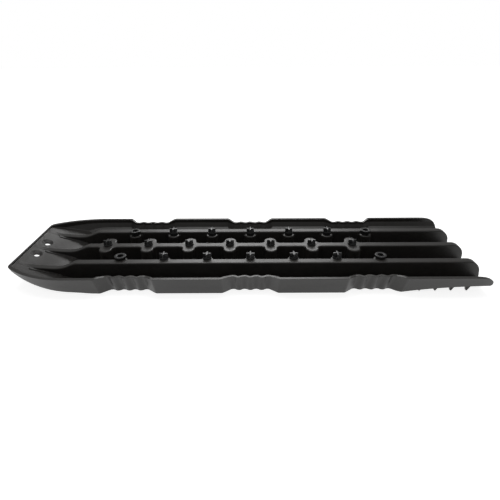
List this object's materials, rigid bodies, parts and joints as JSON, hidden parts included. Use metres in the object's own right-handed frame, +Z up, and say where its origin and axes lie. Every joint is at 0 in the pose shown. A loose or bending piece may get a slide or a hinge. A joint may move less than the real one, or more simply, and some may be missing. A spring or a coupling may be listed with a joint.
{
  "type": "vehicle traction board",
  "caption": "Ribbed plastic traction board with a ramp nose, side finger grips, bolted-in studs and ring-shaped mounting bushes, laid under a stuck wheel in snow, mud or sand.",
  "frame": {"origin": "middle of the board's length and width, on the ground under its walls and cleats", "axes": "+X from the ramp nose to the plain end, +Y across the board, +Z up"},
  "size_m": [1.09, 0.332, 0.0647],
  "materials": {
    "board_plastic": "satin moulded black plastic with a fine grain",
    "stud_black": "black coated steel",
    "zinc_steel": "zinc plated",
    "bush_plastic": "smooth moulded black plastic"
  },
  "bodies": {
    "root": {"track_board": "board_plastic", "traction_stud_01": "stud_black", "traction_stud_02": "stud_black", "traction_stud_03": "stud_black", "traction_stud_04": "stud_black", "traction_stud_05": "stud_black", "traction_stud_06": "stud_black", "traction_stud_07": "stud_black", "traction_stud_08": "stud_black", "traction_stud_09": "stud_black", "traction_stud_10": "stud_black", "traction_stud_11": "stud_black", "traction_stud_12": "stud_black", "traction_stud_13": "stud_black", "traction_stud_14": "stud_black", "traction_stud_15": "stud_black", "traction_stud_16": "stud_black", "traction_stud_17": "stud_black", "stud_washer_01": "zinc_steel", "stud_washer_02": "zinc_steel", "stud_washer_03": "zinc_steel", "stud_washer_04": "zinc_steel", "stud_washer_05": "zinc_steel", "stud_washer_06": "zinc_steel", "stud_washer_07": "zinc_steel", "stud_washer_08": "zinc_steel", "stud_washer_09": "zinc_steel", "stud_washer_10": "zinc_steel", "stud_washer_11": "zinc_steel", "stud_washer_12": "zinc_steel", "stud_washer_13": "zinc_steel", "stud_washer_14": "zinc_steel", "stud_washer_15": "zinc_steel", "stud_washer_16": "zinc_steel", "stud_washer_17": "zinc_steel", "stud_nut_01": "zinc_steel", "stud_nut_02": "zinc_steel", "stud_nut_03": "zinc_steel", "stud_nut_04": "zinc_steel", "stud_nut_05": "zinc_steel", "stud_nut_06": "zinc_steel", "stud_nut_07": "zinc_steel", "stud_nut_08": "zinc_steel", "stud_nut_09": "zinc_steel", "stud_nut_10": "zinc_steel", "stud_nut_11": "zinc_steel", "stud_nut_12": "zinc_steel", "stud_nut_13": "zinc_steel", "stud_nut_14": "zinc_steel", "stud_nut_15": "zinc_steel", "stud_nut_16": "zinc_steel", "stud_nut_17": "zinc_steel", "mounting_bush_1": "bush_plastic", "mounting_bush_2": "bush_plastic", "mounting_bush_3": "bush_plastic", "mounting_bush_4": "bush_plastic"}
  },
  "joints": []
}
